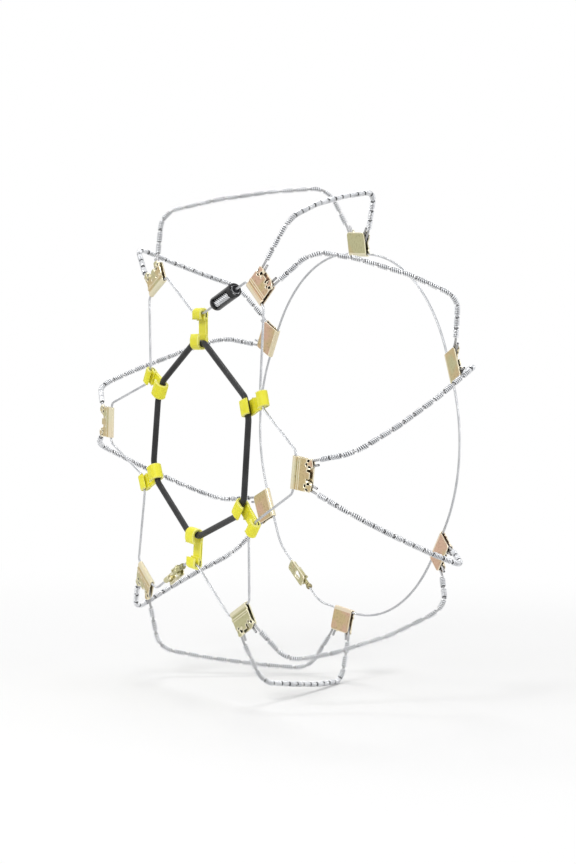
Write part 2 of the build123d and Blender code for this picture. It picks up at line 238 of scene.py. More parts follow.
class Form:                                     # gathers closed shells for one piece
    def __init__(self):
        self.points, self.faces, self.marks, self.count = [], [], [], 0

    def add(self, points, faces, mark=0.0):
        points = np.asarray(points, float).reshape(-1, 3)
        self.points.append(points)
        self.marks.append(np.ravel(mark) if np.ndim(mark) else np.full(len(points), mark))
        self.faces += [tuple(i + self.count for i in face) for face in faces]
        self.count += len(points)

    def loft(self, rings, mark=0.0, closed=False):   # rings: n sections of m points
        rings = np.asarray(rings, float)
        n, m = rings.shape[:2]
        faces = []
        for a in range(n if closed else n - 1):
            b = (a + 1) % n
            faces += [(a * m + k, a * m + (k + 1) % m, b * m + (k + 1) % m, b * m + k)
                      for k in range(m)]
        if not closed:
            faces += [tuple(range(m))[::-1], tuple((n - 1) * m + k for k in range(m))]
        self.add(rings, faces, mark)

    def piece(self, name, body, finish, stands, slot, smooth=40, worn=False, tone=None):
        mesh = bpy.data.meshes.new(name)
        mesh.from_pydata(np.concatenate(self.points).tolist(), [], self.faces)
        made = bmesh.new()
        made.from_mesh(mesh)
        bmesh.ops.recalc_face_normals(made, faces=made.faces)
        mark = made.verts.layers.float.new("mark")
        marks = np.concatenate(self.marks)
        for vert in made.verts:                 # edge wear and painted highlight go where the faces turn outwards
            vert[mark] = marks[vert.index]
            if worn and vert[mark] >= 0:
                turns = [e.calc_face_angle_signed(0.0) for e in vert.link_edges]
                vert[mark] = max(vert[mark], min(1.0, max([0.0, *turns]) / wearAndHighlightAngle))
        bmesh.ops.delete(made, geom=[v for v in made.verts if not v.link_faces], context="VERTS")
        if tone is not None:
            shade = made.verts.layers.float.new("tone")
            for vert in made.verts:
                vert[shade] = tone
        made.to_mesh(mesh)
        made.free()
        mesh.materials.append(finish.material)
        thing = bpy.data.objects.new(name, mesh)
        bpy.context.scene.collection.objects.link(thing)
        mesh.shade_smooth()
        if smooth:
            mesh.set_sharp_from_angle(angle=radians(smooth))
        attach(thing, body)
        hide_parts(*stands)


def grid(start, end, step):                     # distances that divide a stretch evenly
    return np.linspace(start, end, max(2, ceil((end - start) / step) + 1))


def arc(x, y, radius, start, end, count=14):
    return [(x + radius * cos(a), y + radius * sin(a)) for a in np.linspace(start, end, count)]


def capsule(x, y, length, width, angle, count):   # a slot's outline, from its middle
    turned, half = Matrix.Rotation(angle, 2), (length - width) / 2
    points = arc(half, 0, width / 2, -pi / 2, pi / 2, count)
    points += arc(-half, 0, width / 2, pi / 2, 3 * pi / 2, count)
    return [Vector((x, y)) + turned @ Vector(p) for p in points]


def bounded(x0, x1, y0, y1):
    return [Vector(p) for p in ((x0, y0), (x1, y0), (x1, y1), (x0, y1))]


def ramp(past, run):                            # rises from 0 to 1 over a run
    return np.clip(past / run, 0, 1)


def softened(outline, radius):                  # an outline with its sharp corners rounded
    made, n, sharp, share = [], len(outline), radians(25), 0.45
    for k in range(n):
        a, b, c = (Vector(outline[(k + j) % n]) for j in (-1, 0, 1))
        turn = (b - a).angle(c - b, 0)
        if turn < sharp:
            made.append(b)
            continue
        reach = min(radius * tan(turn / 2), (b - a).length * share, (c - b).length * share)
        p, q = b + (a - b).normalized() * reach, b + (c - b).normalized() * reach
        made += [p.lerp(b, f).lerp(b.lerp(q, f), f) for f in (0, 0.25, 0.5, 0.75, 1)]
    return made


def divided(outline, step):                     # an outline with points at most a step apart
    made = []
    for a, b in zip(outline, outline[1:] + outline[:1]):
        count = max(1, ceil((b - a).length / step))
        made += [a.lerp(b, k / count) for k in range(count)]
    return made


def border(cells):                              # the sides that only one cell has
    sides = {(c[k], c[(k + 1) % len(c)]) for c in cells for k in range(len(c))}
    return [(a, b) for a, b in sides if (b, a) not in sides]


# A stamped sheet: outlines joined, holes cut, and pressed up to a height at each place
def stamping(form, seat, outlines, holes, height, thick, step, edge=0.3 * mm):
    points, loops = [], []
    rowStep, clear, probe, inside, tolerance = step * 0.87, step * 0.45, 0.05 * mm, 1, 1e-4
    for outline in outlines + holes:
        along = divided(outline, step)
        loops.append(list(range(len(points), len(points) + len(along))))
        points += along
    rim = np.array(points)
    low, high = rim.min(0), rim.max(0)
    for row, x in enumerate(np.arange(low[0], high[0], rowStep)):
        for y in np.arange(low[1] + (row % 2) * step / 2, high[1], step):
            if np.min(np.hypot(*(rim - (x, y)).T)) > clear:
                points.append(Vector((x, y)))
    flat, _, cells, _, _, owners = delaunay_2d_cdt([p / mm for p in points], [], loops, inside,
                                                   tolerance)
    cells = [c for c, own in zip(cells, owners)
             if any(k < len(outlines) for k in own) and not any(k >= len(outlines) for k in own)]
    used = sorted({k for cell in cells for k in cell})
    number = {old: new for new, old in enumerate(used)}
    cells = [tuple(number[k] for k in cell) for cell in cells]
    flat = np.array([flat[k] for k in used]) * mm
    rises = height(flat[:, 0], flat[:, 1])
    slopeX = (height(flat[:, 0] + probe, flat[:, 1]) - rises) / probe
    slopeY = (height(flat[:, 0], flat[:, 1] + probe) - rises) / probe
    normal = np.stack([-slopeX, -slopeY, np.ones(len(flat))], 1)
    normal /= np.linalg.norm(normal, axis=1)[:, None]
    middle = np.column_stack([flat, rises])
    rimSides, outward = border(cells), np.zeros((len(flat), 3))
    for a, b in rimSides:
        way = flat[b] - flat[a]
        for k in (a, b):
            outward[k, :2] += (way[1], -way[0]) / np.linalg.norm(way)
    long = np.linalg.norm(outward, axis=1)
    outward[long > 0] /= long[long > 0][:, None]
    pull = outward * edge
    layers = [middle + normal * thick / 2 - pull, middle + normal * (thick / 2 - edge),
              middle - normal * (thick / 2 - edge), middle - normal * thick / 2 - pull]
    ends = sorted({k for pair in rimSides for k in pair})
    spot, n = {k: j for j, k in enumerate(ends)}, len(flat)
    under, mid, rest = n, 2 * n, 2 * n + len(ends)
    faces = list(cells) + [tuple(k + under for k in c[::-1]) for c in cells]
    for a, b in rimSides:
        i, j = spot[a], spot[b]
        faces += [(b, a, mid + i, mid + j), (mid + j, mid + i, rest + i, rest + j),
                  (rest + j, rest + i, under + a, under + b)]
    form.add(seat.lay(np.concatenate([layers[0], layers[3], layers[1][ends],
                                      layers[2][ends]])), faces)


# Finishes. A scale of grain is in cycles for each metre, and a rough value is the base roughness

zincLook = {                                    # clean, dull, painted shade, rough, and where the painted shade starts
    "coil": ((0.88, 0.89, 0.91), (0.58, 0.59, 0.61), (0.010, 0.010, 0.012), 0.24, 0.3),
    "core": ((0.66, 0.66, 0.67), (0.46, 0.46, 0.47), (0.015, 0.015, 0.016), 0.28, 0.3),
    "side": ((0.74, 0.75, 0.77), (0.56, 0.57, 0.59), (0.13, 0.13, 0.14), 0.26, 0.4),
    "bright": ((0.82, 0.83, 0.84), (0.50, 0.51, 0.53), (0.03, 0.03, 0.033), 0.14, 0.2),
    "streaks": 1400, "clouds": 70, "bump": 0.03 * mm,
}


def zincFinish(name, clean, dull, paintedShade, rough, depth):
    made = Finish(name, metallic=1.0)
    # painted shade: the mark darkens strand valleys, a coil wire's core side, rope under the coils and the
    # sleeve's collars
    groove = made.clear(made.mark(), depth, 1.0)
    streak = made.grain(zincLook["streaks"], 3)
    cloud = made.clear(made.grain(zincLook["clouds"], 3), 0.3, 0.7)
    metal = made.tint(cloud * 0.6 + streak * 0.4, clean, dull)
    made.give(baseColor=made.tint(groove, metal, paintedShade),
              roughness=rough + 0.16 * cloud + 0.35 * groove)
    made.bump(streak, zincLook["bump"])
    return made


coilSteel = zincFinish("coilSteel", *zincLook["coil"])
coreRope = zincFinish("coreRope", *zincLook["core"])
sideRope = zincFinish("sideRope", *zincLook["side"])
brightSteel = zincFinish("brightSteel", *zincLook["bright"])

goldLook = {"gold": (0.57, 0.45, 0.24), "pink": (0.63, 0.42, 0.30), "green": (0.51, 0.49, 0.28),
            "edge": (0.93, 0.87, 0.68), "stainAndDarkReflection": (0.20, 0.14, 0.07), "pit": (0.012, 0.010, 0.008),
            "patches": 38, "patchy": 1.6, "specks": 420, "brush": 1800, "dents": 160,
            "rough": 0.30, "bump": 0.05 * mm}
goldSteel = Finish("goldSteel", metallic=1.0)
patch = goldSteel.grain(goldLook["patches"], 2) - 0.5
hue = goldSteel.mark("tone") + patch * goldLook["patchy"]               # 0 green, 1 pink
gold = goldSteel.tint(goldSteel.clear(hue, 0.1, 0.5), goldLook["green"], goldLook["gold"])
gold = goldSteel.tint(goldSteel.clear(hue, 0.55, 0.95), gold, goldLook["pink"])
# real stains, and painted dark reflection: the specks darken the plating in patches
specks = goldSteel.clear(goldSteel.grain(goldLook["specks"], 4), 0.5, 0.78)
gold = goldSteel.tint(specks * 0.6, gold, goldLook["stainAndDarkReflection"])
# edge wear and painted highlight: rims and hem are paled towards the edge colour
worn = goldSteel.clear(goldSteel.mark(), 0.25, 0.8)
# the dark colour for marks below zero: painted shade in the discs under the holes, and the lock's darkened
# stop
pit = goldSteel.clear(0.0 - goldSteel.mark(), 0.2, 0.8)
brush = goldSteel.grain(goldLook["brush"], 2, (1, 1, 0.15))
goldSteel.give(baseColor=goldSteel.tint(pit, goldSteel.tint(worn * 0.8, gold, goldLook["edge"]),
                                        goldLook["pit"]),
               roughness=goldLook["rough"] + 0.14 * brush - 0.08 * worn + 0.4 * pit)
goldSteel.bump(brush * 0.6 + goldSteel.grain(goldLook["dents"], 2), goldLook["bump"])

yellowLook = {"yellow": (0.95, 0.90, 0.045), "deep": (0.88, 0.79, 0.02), "rub": (0.96, 0.94, 0.45),
              "clouds": 90, "grain": 1500, "rough": 0.38, "bump": 0.04 * mm}
yellowPlastic = Finish("yellowPlastic", specularIORLevel=0.45, subsurfaceWeight=0.08,
                       subsurfaceRadius=(0.002, 0.0018, 0.0005))
cloud = yellowPlastic.clear(yellowPlastic.grain(yellowLook["clouds"], 3), 0.35, 0.7)
skin = yellowPlastic.tint(cloud * 0.5, yellowLook["yellow"], yellowLook["deep"])
# edge wear and painted highlight: outward edges paled towards the rub colour
worn = yellowPlastic.clear(yellowPlastic.mark(), 0.2, 0.9)
yellowPlastic.give(baseColor=yellowPlastic.tint(worn * 0.7, skin, yellowLook["rub"]),
                   roughness=yellowLook["rough"] + 0.14 * cloud)
yellowPlastic.bump(yellowPlastic.grain(yellowLook["grain"], 2), yellowLook["bump"])

rubberLook = {"rubber": (0.016, 0.016, 0.017), "bloom": (0.045, 0.046, 0.048),
              "clouds": 45, "grain": 1100, "rough": 0.34, "bump": 0.06 * mm}
blackRubber = Finish("blackRubber", specularIORLevel=0.3)
cloud = blackRubber.clear(blackRubber.grain(rubberLook["clouds"], 4), 0.35, 0.75)
fine = blackRubber.grain(rubberLook["grain"], 3)
blackRubber.give(baseColor=blackRubber.tint(cloud * 0.6 + fine * 0.2, rubberLook["rubber"],
                                            rubberLook["bloom"]),
                 roughness=rubberLook["rough"] + 0.18 * fine)
blackRubber.bump(fine, rubberLook["bump"])

blackLook = {"black": (0.008, 0.008, 0.009), "scuff": (0.050, 0.050, 0.052),
             "scuffs": 260, "grain": 1600, "rough": 0.20, "bump": 0.03 * mm}
blackPlastic = Finish("blackPlastic", specularIORLevel=0.3)
scuff = blackPlastic.clear(blackPlastic.grain(blackLook["scuffs"], 4), 0.55, 0.8)
# edge wear and painted highlight: outward edges lightened towards the scuff colour
worn = blackPlastic.clear(blackPlastic.mark(), 0.3, 1.0)
blackPlastic.give(baseColor=blackPlastic.tint(scuff * 0.5 + worn * 0.4, blackLook["black"],
                                              blackLook["scuff"]),
                  roughness=blackLook["rough"] + 0.22 * scuff)
blackPlastic.bump(blackPlastic.grain(blackLook["grain"], 2), blackLook["bump"])
print("finishes")


# Wire rope: strands laid round a core

ropeLook = {"strands": 6, "samples": 5, "lay": 17 * mm, "step": 0.8 * mm, "coveredStep": 2.5 * mm,
            "valley": 0.74, "shaded": 0.62}    # least radius between strands, shade under a coil


def rope(form, route, diameter, hidden=(), lay=ropeLook["lay"]):   # hidden: under a coil
    radius, strands, samples = diameter / 2, ropeLook["strands"], ropeLook["samples"]
    offset = ((np.arange(strands * samples) % samples) / samples - 0.5) * 2 * pi / strands
    outline = radius * 2 / 3 * np.cos(offset) + np.sqrt(np.maximum(
        (radius / 3) ** 2 - (radius * 2 / 3 * np.sin(offset)) ** 2, 0))
    outline = np.maximum(outline, ropeLook["valley"] * radius)
    places, turns, shade, place, turn = [0.0], [0.0], [0.0], 0.0, 0.0
    for start, end in [*hidden, (route.length, route.length)]:
        fine = grid(place, start, ropeLook["step"])[1:]
        turns += list(turn + (fine - place) / lay * 2 * pi)
        places, turn = places + list(fine), turns[-1]
        coarse = grid(start, end, ropeLook["coveredStep"])[1:] if end > start else []
        places, turns = places + list(coarse), turns + [turn] * len(coarse)
        covered = [ropeLook["shaded"]] * (len(coarse) - 1) + [0.0]
        shade += [0.0] * len(fine) + covered[:len(coarse)]
        place = end
    spots, _, across, over = route.frames(places)
    angle = np.array(turns)[:, None] + np.arange(len(outline)) * 2 * pi / len(outline)
    ring = (np.cos(angle)[..., None] * across[:, None] + np.sin(angle)[..., None] *
            over[:, None]) * outline[None, :, None]
    # painted shade in the valleys between strands and on the rope under each coil
    groove = 1 - (outline - outline.min()) / np.ptp(outline)
    form.loft(spots[:, None] + ring, np.maximum(groove[None, :], np.array(shade)[:, None]))


# Tread cables: looped ends in the connectors, coils threaded on between them

plate = {
    "width": 40 * mm, "sheet": 1.5 * mm, "play": 0.25 * mm,
    "lobeX": 14 * mm, "lobeT": 11 * mm, "lobeReach": 17 * mm,
    "loopGap": 6.2 * mm, "loopBend": 2.8 * mm, "stubOut": 6 * mm,
}
cable = {
    "side": 3.2 * mm, "core": 3.2 * mm, "shoulderBend": 30 * mm,
    "sideReach": 5.6 * mm, "lockReach": 11 * mm, "hookReach": 2.6 * mm,
    "legBendReach": 4 * mm, "legBendFrom": 4.4 * mm,
    "outerLeads": ((7.1, 5.7), (4.6, 7.2), (10.9, 3.5), (6.5, 7.9), (9.4, 5.0), (7.6, 5.0)),
    "innerLeads": ((4.8, 11.4), (12.6, 7.2), (7.2, 7.2), (7.2, 7.2), (7.2, 7.2), (5.0, 6.6)),
    "bows": ((-0.8, -0.4), (1.2, 1.9), (0.5, -0.5), (0.4, -0.4), (0.5, -0.6), (-2.8, 1.2)),
}
coil = {"wire": 1.7 * mm, "pitch": 2.6 * mm, "play": 0.3 * mm, "length": 16 * mm, "gap": 0.6 * mm,
        "rolling": 3, "rollGap": 1.5 * mm, "endGap": 1 * mm, "midReach": 8 * mm, "treadPlay": 0.6 * mm,
        "bareEnd": 7.6 * mm, "perTurn": 14, "sides": 7}
coilMiddle = cable["core"] / 2 + coil["play"] + coil["wire"] / 2
cableRadius = wheel["treadRadius"] + coil["treadPlay"] + coilMiddle + coil["wire"] / 2
foldIn = cable["side"] / 2 + plate["play"]
foldOut = foldIn + plate["sheet"]
rollPitch = coil["length"] + coil["rollGap"]
rollLength = coil["rolling"] * rollPitch - coil["rollGap"]
midReach = rollLength / 2 + coil["endGap"] + coil["midReach"]
bare = 2 * (plate["lobeReach"] + plate["loopBend"]) + plate["stubOut"] + plate["loopGap"] \
    + coil["bareEnd"]
outerSeats = [seatAt(r * mm, a, -1, lean) for r, a, lean in
              zip(wheel["outerRadii"], wheel["outerAngles"], wheel["outerLeans"])]
innerSeats = [seatAt(wheel["innerRadius"], a, 1, wheel["innerLean"])
              for a in wheel["innerAngles"]]
outerSpots = [[around(cableRadius, a + s * lead, -wheel["shoulderY"])
               for s, lead in zip((1, -1), leads)]
              for a, leads in zip(wheel["outerAngles"], cable["outerLeads"])]
innerSpots = [[around(cableRadius, a - s * lead, wheel["shoulderY"])
               for s, lead in zip((1, -1), leads)]
              for a, leads in zip(wheel["innerAngles"], cable["innerLeads"])]


def legAngle(seat, side, spot):
    away = spot - seat.at(plate["lobeX"], side * plate["lobeT"])
    x, t = away.dot(seat.x), away.dot(seat.y)
    return atan2(t, x) - side * asin(plate["loopGap"] / 2 / hypot(x, t))


def loopedEnd(seat, side, spot):
    angle, half = legAngle(seat, side, spot), plate["loopGap"] / 2
    front, back = plate["lobeReach"] + plate["stubOut"], -plate["loopBend"]
    local = [(-half, front), (-half, back), (half, back),
             (half, plate["lobeReach"] + cable["legBendFrom"])]
    return [seat.at(plate["lobeX"] - side * sin(angle) * s + d * cos(angle),
                    side * plate["lobeT"] + side * cos(angle) * s + d * sin(angle))
            for s, d in local] + [spot]


def reachOf(turnRadius, a, b, c):
    return turnRadius * tan((b - a).angle(c - b) / 2)


def treadRoute(outer, side):                    # the route, and the middle of its straight run
    inner, turn = (outer, 0) if side > 0 else ((outer - 1) % 6, 1)
    outerEnd = loopedEnd(outerSeats[outer], side, outerSpots[outer][turn])
    innerEnd = loopedEnd(innerSeats[inner], side, innerSpots[inner][turn])
    first = wheel["outerAngles"][outer] + side * cable["outerLeads"][outer][turn]
    turned = wheel["innerAngles"][inner] - side * cable["innerLeads"][inner][turn] - first
    turned = (turned + 180) % 360 - 180
    fromY, toY = outerEnd[-1].y, innerEnd[-1].y
    step = midReach / hypot(radians(turned) * cableRadius, toY - fromY)
    middle = [around(cableRadius, first + turned * f + cable["bows"][outer][turn],
                     fromY + (toY - fromY) * f) for f in (0.5 - step, 0.5 + step)]
    points = outerEnd + middle + innerEnd[::-1]
    bend, leg, mid = plate["loopBend"], cable["legBendReach"], coil["midReach"]
    made = Route(points, [bend, bend, leg, reachOf(cable["shoulderBend"], *points[3:6]), mid,
                          mid, reachOf(cable["shoulderBend"], *points[6:9]), leg, bend, bend])
    centre = (points[5] + points[6]) / 2
    run = min((p for p in made.parts if p[0] == "run"),
              key=lambda p: (p[3][0] + p[3][1] * p[2] / 2 - centre).length)
    return made, run[1] + run[2] / 2


def spring(form, route, start):                 # one coil of round wire
    wire, length = coil["wire"] / 2, coil["length"]
    turns = (length - 2 * wire) / coil["pitch"]
    places = start + wire + np.linspace(0, length - 2 * wire, int(turns * coil["perTurn"]))
    spots, ahead, across, over = route.frames(places)
    angle = random.uniform(0, 2 * pi) + (places - places[0]) / (length - 2 * wire) * turns * 2 * pi
    out = np.cos(angle)[:, None] * across + np.sin(angle)[:, None] * over
    rise = (length - 2 * wire) / (turns * 2 * pi)
    along = ahead * rise + coilMiddle * np.cross(ahead, out)
    along /= np.linalg.norm(along, axis=1)[:, None]
    side = np.cross(along, out)
    turn = np.arange(coil["sides"]) * 2 * pi / coil["sides"]
    rings = (spots + out * coilMiddle)[:, None] + wire * (
        np.cos(turn)[None, :, None] * out[:, None] + np.sin(turn)[None, :, None] * side[:, None])
    # painted shade on the side of the wire that faces the core
    form.loft(rings, np.tile((1 - np.cos(turn)) / 2, (len(rings), 1)))


def shared(room):                               # where the coils that share a stretch begin
    count = int(room // (coil["length"] + coil["gap"]))
    return [k * room / count for k in range(count)]


for outer in range(6):
    cables = Form()
    for side in (1, -1):
        route, middle = treadRoute(outer, side)
        number = f"{2 * outer + (1 if side > 0 else 2):02d}"
        first = middle - rollLength / 2
        rolling = [first + k * rollPitch for k in range(coil["rolling"])]
        fixed = [bare + away for away in shared(first - bare)]
        fixed += [route.length - bare - coil["length"] - away
                  for away in shared(route.length - bare - first - rollLength)]
        rope(cables, route, cable["core"],
             [(s, s + coil["length"]) for s in sorted(fixed + rolling)])
        for name, body, starts in (("coils_", "net", fixed),
                                   ("rollers_", "rollers_" + number, rolling)):
            coils = Form()
            for start in sorted(starts):
                spring(coils, route, start)
            coils.piece("wound_" + name + number, body, coilSteel, ["tread_" + name + number],
                        "coil_steel", smooth=0)
    cables.piece(f"looped_cables_{outer + 1}", "net", coreRope,
                 [f"tread_cables_{outer + 1}"], "core_rope", smooth=50)
print("tread cables and coils")


# Connectors: a hem rolled round the side cable, and a leaf pressed over each looped cable end

connectorLook = {
    "hem": 10 * mm, "hemCorner": 1.0 * mm, "bead": (7.2 * mm, 0.45 * mm, 0.8 * mm),
    "groove": (4.5 * mm, -1.0 * mm, 0.9 * mm),  # place, rise and width, as for the bead
    "backReach": 28.5 * mm, "ear": 5 * mm, "edge": 0.35 * mm, "lipThin": 0.45,
    "hemStep": 0.45 * mm, "backStep": 0.8 * mm, "foldCuts": 17, "columns": 41,
    "leafSheet": 1.2 * mm, "leafZ": 2.35 * mm, "leafStart": 8.4 * mm, "leafCorner": 1.6 * mm,
    "leafReach": 21 * mm, "webReach": 26 * mm, "webWidth": 8.8 * mm, "rim": 0.45 * mm, "bent": 0.6,
    "lobeStart": -1 * mm, "lobeWidth": 12.7 * mm, "lobeCorner": 4.6 * mm, "lobeBlend": 0.8 * mm,
    "dome": 1.15 * mm, "domeFrom": 1 * mm, "domeRun": 7 * mm, "domeCurve": 0.8,
    "skirt": 3.2 * mm, "skirtFrom": 0.2 * mm, "skirtRun": 2.4 * mm, "skirtU": 4.7 * mm,
    "skirtCurve": 1.6, "step": 1.05 * mm, "pierced": (3, 4, 5), "piercing": 2.2 * mm, "piercingOut": 0.75,
    "pit": 2.3 * mm, "pitDrop": 0.15 * mm, "pitDepth": 0.2 * mm, "pitGap": 0.05 * mm, "pitSides": 12,
    "tones": (0.55, 0.85, 0.3, 0.5, 0.25, 0.1),
    "vents": ((6.6, 0.0, 3.8, 2.8, 90), (10.5, 3.7, 4.4, 2.8, 14), (10.5, -3.7, 4.4, 2.8, -14)),
}


def bump(x, place, rise, width):                # a pressed line's height at x
    return rise * np.exp(-((x - place) / width) ** 2)


def hem(form, seat):
    look, middle, half = connectorLook, (foldIn + foldOut) / 2, plate["width"] / 2
    spine = [(x, middle, 0.0, 1.0) for x in grid(0, look["hem"], look["hemStep"])[::-1]]
    spine += [(middle * cos(a), middle * sin(a), cos(a), sin(a))
              for a in np.linspace(pi / 2, 3 * pi / 2, look["foldCuts"])[1:-1]]
    spine += [(x, -middle, 0.0, -1.0) for x in grid(0, look["backReach"], look["backStep"])]
    across, rings = np.linspace(-1, 1, look["columns"]), []
    for k, (x, z, nx, nz) in enumerate(spine):
        front = z > 0 and nz == 1
        corner, leaf = ((look["hemCorner"], look["hem"]) if z > 0 else
                        (look["ear"], look["backReach"]))
        past = max(0.0, x - leaf + corner)
        wide = half - corner + max(0.0, corner ** 2 - past ** 2) ** 0.5
        end = k in (0, len(spine) - 1)
        press = bump(x, *look["bead"]) + bump(x, *look["groove"]) if front else 0.0
        thick = plate["sheet"] / 2 * (look["lipThin"] if end else 1)
        inset = look["edge"]
        wide -= inset if end else 0
        top = [(t * (wide - inset), press + thick) for t in across]
        side = [(wide - inset * (1 - sin(a)), press + thick - inset * (1 - cos(a)))
                for a in (pi / 6, pi / 3, pi / 2)]
        low = [(t, 2 * press - b) for t, b in side[::-1]]
        ring = top + side + low + [(t, press - thick) for t, _ in top[::-1]]
        ring += [(-t, b) for t, b in low[::-1] + side[::-1]]
        rings.append([(x + nx * b, t, z + nz * b) for t, b in ring])
    # painted highlight: the rolled hem is paled towards the plating's edge colour
    bent = [look["bent"] if x < look["groove"][0] / 2 else 0.0 for x, _, _, _ in spine]
    form.loft(seat.lay(rings), np.repeat(bent, len(ring)))


def connector(seat, spots, node, pierced, tone):
    look, form = connectorLook, Form()
    hem(form, seat)
    angles = [legAngle(seat, side, spot) for side, spot in zip((1, -1), spots)]
    outlines = [softened(bounded(look["leafStart"], reach, -wide / 2, wide / 2),
                         look["leafCorner"])
                for reach, wide in ((look["leafReach"], plate["width"]),
                                    (look["webReach"], look["webWidth"]))]
    holes, pits = [], []
    for side, angle in zip((1, -1), angles):
        turned, centre = Matrix.Rotation(angle, 2), Vector((plate["lobeX"], side * plate["lobeT"]))
        tongue = bounded(look["lobeStart"], plate["lobeReach"], -look["lobeWidth"] / 2,
                         look["lobeWidth"] / 2)
        outlines.append([centre + turned @ p for p in softened(tongue, look["lobeCorner"])])
        for s, u, long, wide, lean in look["vents"]:
            spot = centre + turned @ Vector((s * mm, u * mm))
            holes.append(capsule(*spot, long * mm, wide * mm, angle + radians(lean), 7))
            pits.append(spot)
        for u in (-1, 1) if pierced else ():
            spot = centre + turned @ Vector((-plate["loopBend"], u * plate["loopGap"] * look["piercingOut"]))
            holes.append(capsule(*spot, look["piercing"], look["piercing"] - hair, 0, 7))
            pits.append(spot)

    def height(x, t):
        rise, half = np.full(len(x), look["leafZ"]), look["lobeWidth"] / 2
        for side, angle in zip((1, -1), angles):
            dx, dt = x - plate["lobeX"], t - side * plate["lobeT"]
            s, u = dx * cos(angle) + dt * sin(angle), np.abs(dt * cos(angle) - dx * sin(angle))
            near = ramp(half + look["lobeBlend"] / 2 - u, look["lobeBlend"])
            swell = ramp(s - look["domeFrom"], look["domeRun"])
            swell = swell * swell * (3 - 2 * swell)
            crown = np.clip(1 - (u / half) ** 2, 0, 1) ** look["domeCurve"]
            free = ramp(x - look["leafReach"] - look["skirtFrom"], look["skirtRun"])
            down = ramp(u - look["skirtU"], half - look["skirtU"]) ** look["skirtCurve"]
            rise = rise + near * (look["dome"] * swell * crown - free * look["skirt"] * down)
        return rise

    stamping(form, seat, outlines, holes, height, look["leafSheet"], look["step"], look["rim"])
    # a dark disc under each hole: painted shade seen through the hole
    for spot in pits:
        top = float(height(np.array([spot.x]), np.array([spot.y]))[0])
        top -= look["leafSheet"] / 2 + look["pitDrop"]
        low = min(cable["core"] / 2 + look["pitGap"], top - look["pitDepth"])
        ring = arc(*spot, look["pit"], 0, 2 * pi, look["pitSides"] + 1)[:-1]
        form.loft(seat.lay([[(x, y, z) for x, y in ring] for z in (low, top)]), -1.0)
    form.piece(node.replace("connector", "clasp"), "net", goldSteel, [node], "gold_steel",
               smooth=38, worn=True, tone=tone)


for k, tone in enumerate(connectorLook["tones"]):
    connector(outerSeats[k], outerSpots[k], f"outer_connector_{k + 1}",
              k + 1 in connectorLook["pierced"], tone)
    connector(innerSeats[k], innerSpots[k], f"inner_connector_{k + 1}", True, 1 - tone)
print("connectors")


# Side cables

hookSize = {"width": 20 * mm, "barWidth": 18 * mm, "bar": 4 * mm, "play": 0.3 * mm, "swing": 8,
            "cableWall": 4.6 * mm, "ringWall": 3.6 * mm, "cableTip": 3 * mm, "ringTip": 5 * mm,
            "endGap": 0.3 * mm, "corner": 0.9 * mm, "round": 1.5 * mm, "face": 2.2 * mm,
            "sink": 0.45 * mm, "under": 0.15 * mm, "barRound": 1.1 * mm, "barFace": 1.7 * mm}
lock = {"length": 40 * mm, "width": 15 * mm, "sheet": 1.6 * mm, "fromBend": 19 * mm,
        "innerRun": 90 * mm, "studX": 31 * mm, "travel": 8 * mm, "cableInStud": 2 * mm,
        "cableInCrimp": 1 * mm, "crimp": 12 * mm, "crimpWall": 2.1 * mm,
        "wallStart": 15 * mm, "wallHeight": 5 * mm,
        "lipX": 34.3 * mm, "ball": 4.4 * mm, "shank": 2.9 * mm, "shankLength": 14 * mm,
        "play": 0.3 * mm}
halfFold = plate["width"] / 2 + hookSize["endGap"]
halfHook = hookSize["width"] / 2 + hookSize["endGap"]


def sideCable(side, seat, corners, reaches):    # from its stud round to its crimp
    ends = [seat.at(x, 0) for x in (lock["studX"] + lock["cableInStud"],
                                    lock["crimp"] - lock["cableInCrimp"])]
    form = Form()
    rope(form, Route([ends[0]] + corners + [ends[1]], reaches), cable["side"])
    form.piece(f"{side}_rope", "net", sideRope, [f"{side}_side_cable"], "side_rope", smooth=50)


stations = []
for k in range(6):
    ahead = cable["lockReach"] if k == 4 else cable["sideReach"]
    stations.append((wheel["outerRadii"][k], wheel["outerAngles"][k], halfFold,
                     cable["sideReach"], ahead))
    stations.append((wheel["hookRadii"][k], wheel["hookAngles"][k], halfHook,
                     cable["hookReach"], cable["hookReach"]))
stations = stations[9:] + stations[:9]          # from the hook after the lock
corners, reaches = [], []
for radius, angle, half, reachIn, reachOut in stations:
    for side, reach in ((-1, reachIn), (1, reachOut)):
        corners.append(seatAt(radius * mm, angle, -1).at(0, side * (half + reach)))
        reaches.append(reach)
lockWay = (corners[0] - corners[-1]).normalized()
outerLock = Seat(corners[-1] + lockWay * (cable["lockReach"] + lock["fromBend"]),
                 lockWay, Vector((0, -1, 0)))
sideCable("outer", outerLock, corners, reaches)

corners, reaches, radius = [], [], wheel["innerRadius"]
for k in range(5):
    here, there = wheel["innerAngles"][(k + 4) % 6], wheel["innerAngles"][(k + 5) % 6]
    toCorner = radius * tan(radians((there - here) % 360) / 2)
    corners.append(seatAt(radius, here, 1).at(0, -toCorner))
    reaches.append(toCorner - halfFold)
here, there = wheel["innerAngles"][3:5]
halfSide = radius * tan(radians(there - here) / 4)
hub = around(1, (here + there) / 2, 0)
way = Vector((-hub.z, 0, hub.x))
centre = hub * radius + Vector((0, wheel["sideY"], 0))
bend = halfSide - max(halfFold, lock["innerRun"] / 2)
corners = [centre + way * halfSide] + corners + [centre - way * halfSide]
innerLock = Seat(centre - way * lock["length"] / 2, way, Vector((0, 1, 0)))
sideCable("inner", innerLock, corners, [bend] + reaches + [bend])
print("side cables")


# Plates across a frame's Y, and turned parts along its X

